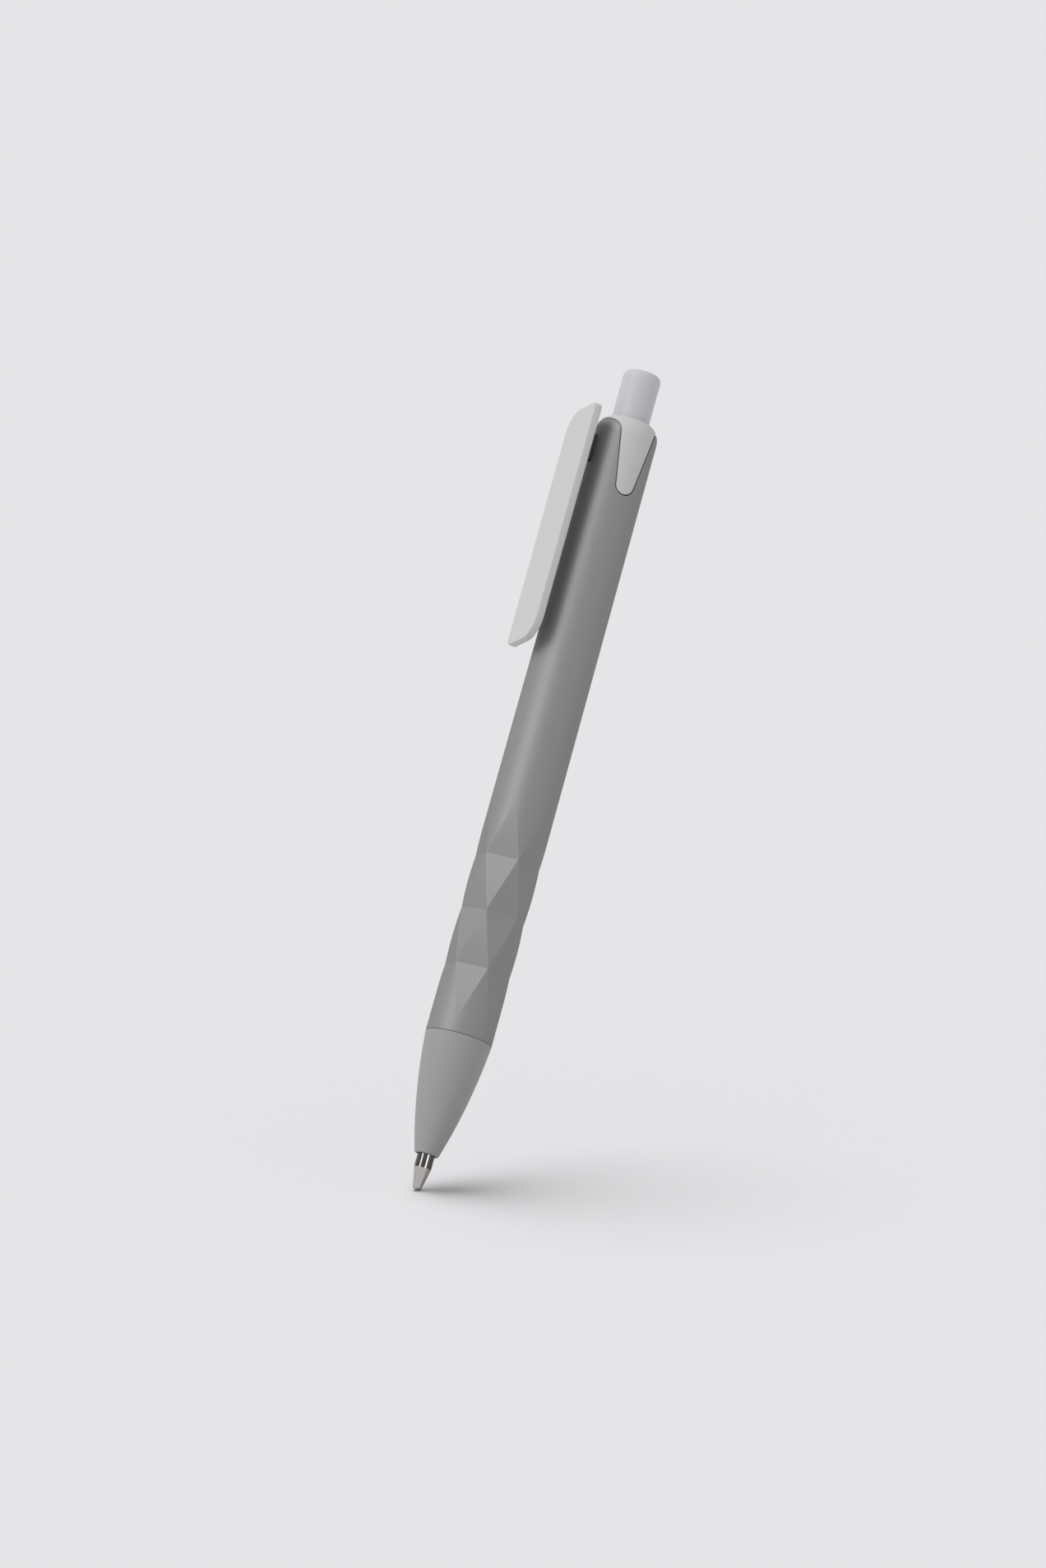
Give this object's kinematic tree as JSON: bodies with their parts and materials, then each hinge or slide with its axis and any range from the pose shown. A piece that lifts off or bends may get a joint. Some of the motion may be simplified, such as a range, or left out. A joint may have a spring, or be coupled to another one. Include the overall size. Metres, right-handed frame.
{
  "type": "retractable ballpoint pen",
  "caption": "Push-button ballpoint pen with a facetted grip, tapered nose, pocket clip, cam mechanism and a sprung refill.",
  "frame": {"origin": "point where the writing ball touches the paper, with the pen upright and the tip out", "axes": "+Z along the pen's axis towards the push button, -Y towards the pocket clip, +X to the right seen from the clip's side"},
  "size_m": [0.0114, 0.0146, 0.1449],
  "materials": {
    "barrel_plastic": "satin grey moulded plastic",
    "nose_plastic": "satin grey moulded plastic",
    "collar_plastic": "satin light grey moulded plastic",
    "clip_plastic": "satin light grey moulded plastic",
    "button_plastic": "satin light grey moulded plastic",
    "mechanism_plastic": "natural white acetal",
    "refill_plastic": "smooth translucent tube",
    "ink": "thick dark ink",
    "tip_metal": "turned and plated metal",
    "ball_metal": "polished ball",
    "spring_steel": "drawn spring wire"
  },
  "bodies": {
    "barrel_body": {"barrel": "barrel_plastic", "top_collar": "collar_plastic", "guide_sleeve": "mechanism_plastic"},
    "nose_body": {"nose_cone": "nose_plastic"},
    "clip_body": {"pocket_clip": "clip_plastic"},
    "button_body": {"push_button": "button_plastic"},
    "refill_body": {"refill_tube": "refill_plastic", "ink_column": "ink", "tip_body": "tip_metal", "return_spring": "spring_steel"},
    "rotor_body": {"cam_rotor": "mechanism_plastic"},
    "ball_body": {"writing_ball": "ball_metal"}
  },
  "joints": [
    {"name": "button_slide", "type": "slide", "parent": "barrel_body", "child": "button_body", "axis": [0, 0, 1], "range_m": [-0.0012, 0.0066]},
    {"name": "refill_slide", "type": "slide", "parent": "barrel_body", "child": "refill_body", "axis": [0, 0, 1], "range_m": [-0.0012, 0.0066], "deforming": ["return_spring"]},
    {"name": "cam_turn", "type": "hinge", "parent": "refill_body", "child": "rotor_body", "pos_m": [0, 0, 0.0979], "axis": [0, 0, 1], "continuous": true},
    {"name": "ball_roll", "type": "hinge", "parent": "refill_body", "child": "ball_body", "pos_m": [0, 0, 0.0005], "axis": [1, 0, 0], "continuous": true},
    {"name": "clip_flex", "type": "hinge", "parent": "barrel_body", "child": "clip_body", "pos_m": [0, -0.0049, 0.13], "axis": [-1, 0, 0], "range_deg": [0, 3], "stiffness_Nm_per_rad": 1},
    {"name": "nose_turn", "type": "hinge", "parent": "barrel_body", "child": "nose_body", "pos_m": [0, 0, 0.02665], "axis": [0, 0, 1], "continuous": true}
  ],
  "couplings": [
    {"joint": "refill_slide", "follows": "button_slide", "ratio": 1}
  ]
}
